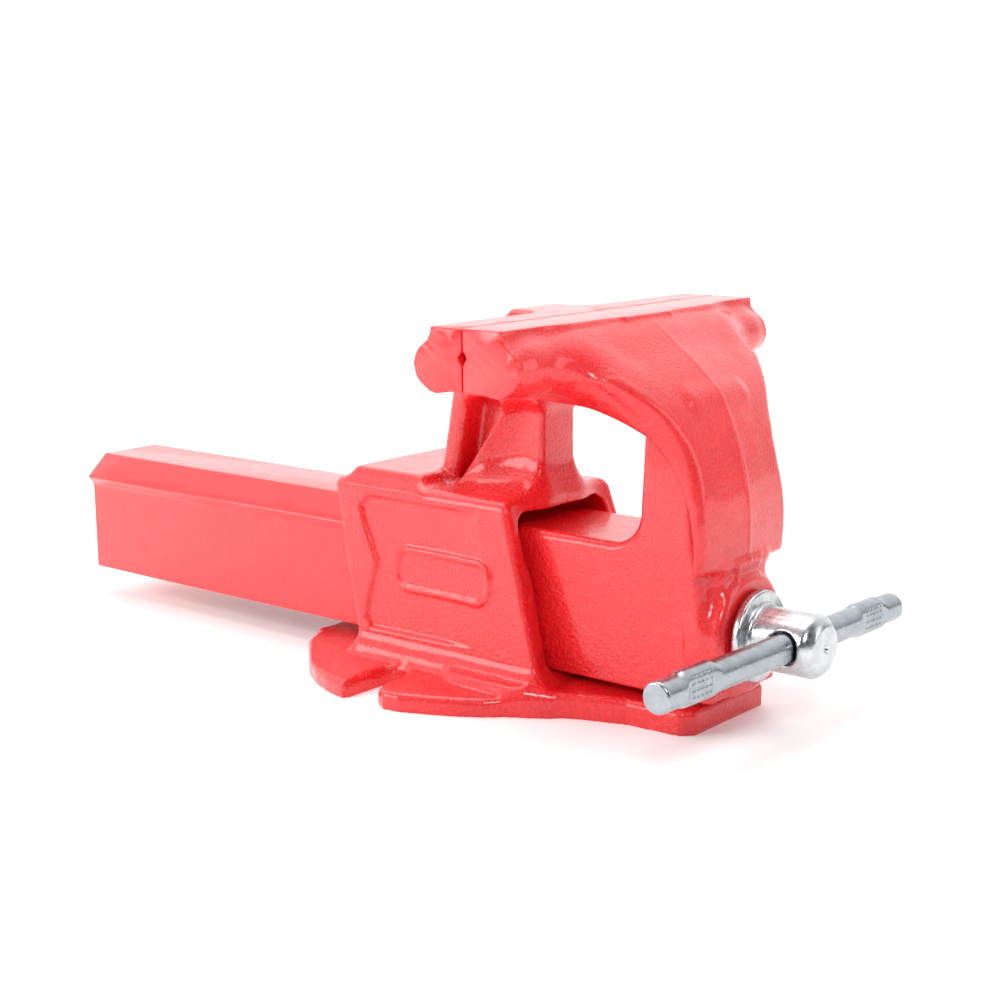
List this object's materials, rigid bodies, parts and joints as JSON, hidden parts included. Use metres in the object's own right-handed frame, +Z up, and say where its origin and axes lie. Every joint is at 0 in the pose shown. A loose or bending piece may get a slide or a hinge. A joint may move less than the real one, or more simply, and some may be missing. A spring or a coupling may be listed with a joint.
{
  "type": "bench vise",
  "caption": "Cast bench vise: slotted base, fixed jaw on a column, C-shaped moving jaw on a long beam slide driven by a lead screw with a sliding tommy bar.",
  "frame": {"origin": "on the base's flat underside, on the centre plane, midway between the two bolt slots", "axes": "+X from the beam's tail towards the screw head and tommy bar, +Y across the jaws, +Z up from the bench"},
  "size_m": [0.4838, 0.2121, 0.188],
  "materials": {
    "painted_iron": "gloss",
    "plated_steel": "satin",
    "bare_steel": "satin",
    "bare_iron": "matte"
  },
  "bodies": {
    "base": {"fixed_body": "painted_iron", "lead_nut": "bare_iron", "nut_bolts": "bare_steel", "nut_washers": "bare_steel"},
    "slide": {"moving_jaw": "painted_iron"},
    "spindle": {"lead_screw": "plated_steel", "retaining_collar": "bare_steel", "retaining_pin": "bare_steel", "thrust_washer": "bare_steel"},
    "handle": {"tommy_bar": "plated_steel"}
  },
  "joints": [
    {"name": "jaw_slide", "type": "slide", "parent": "base", "child": "slide", "axis": [1, 0, 0], "range_m": [0, 0.2]},
    {"name": "screw_turn", "type": "hinge", "parent": "slide", "child": "spindle", "pos_m": [0.168, 0, 0.0437], "axis": [1, 0, 0], "range_deg": [0, 14400]},
    {"name": "bar_slide", "type": "slide", "parent": "spindle", "child": "handle", "axis": [0, 0.9998, -0.0201], "range_m": [-0.036, 0.058]}
  ],
  "couplings": [
    {"joint": "screw_turn", "follows": "jaw_slide", "rad_per_m": 1256.6}
  ]
}
